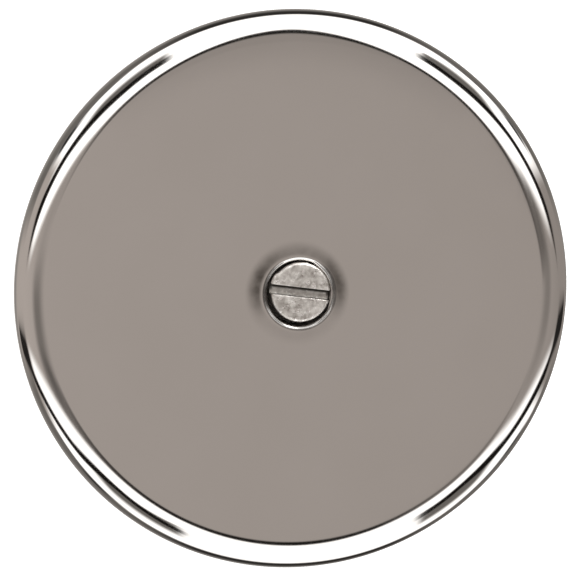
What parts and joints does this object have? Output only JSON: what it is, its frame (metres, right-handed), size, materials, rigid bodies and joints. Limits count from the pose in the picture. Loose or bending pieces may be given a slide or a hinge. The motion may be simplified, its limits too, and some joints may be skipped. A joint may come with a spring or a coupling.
{
  "type": "floor drain access cover",
  "caption": "Round polished drain cover with a rolled rim, a slotted centre screw in a dimple, a rim gasket and a bridge bar that clamps it down.",
  "frame": {"origin": "centre of the plane that the rim gasket rests on, on the screw's axis", "axes": "+Z out of the cover's face, +X along the bridge bar, +Y across it"},
  "size_m": [0.12, 0.12, 0.045],
  "materials": {
    "polished_plate": "mirror polish",
    "plated_screw": "nickel plated, rough on the head",
    "zinc_steel": "bright zinc plated",
    "spring_steel": "phosphated",
    "brass": "machined",
    "black_rubber": "moulded, matt",
    "black_fibre": "vulcanised fibre"
  },
  "bodies": {
    "cover": {"cover_plate": "polished_plate", "rim_gasket": "black_rubber", "head_washer": "black_fibre", "shank_o_ring": "black_rubber"},
    "screw": {"center_screw": "plated_screw", "retaining_washer": "spring_steel", "end_clip": "spring_steel"},
    "bridge": {"bridge_bar": "zinc_steel", "bridge_nut": "brass"}
  },
  "joints": [
    {"name": "screw_turn", "type": "hinge", "parent": "cover", "child": "screw", "pos_m": [0, 0, 0], "axis": [0, 0, 1], "range_deg": [0, 3456]},
    {"name": "bridge_travel", "type": "slide", "parent": "cover", "child": "bridge", "axis": [0, 0, -1], "range_m": [0, 0.012]}
  ],
  "couplings": [
    {"joint": "screw_turn", "follows": "bridge_travel", "rad_per_m": 5026.5}
  ]
}
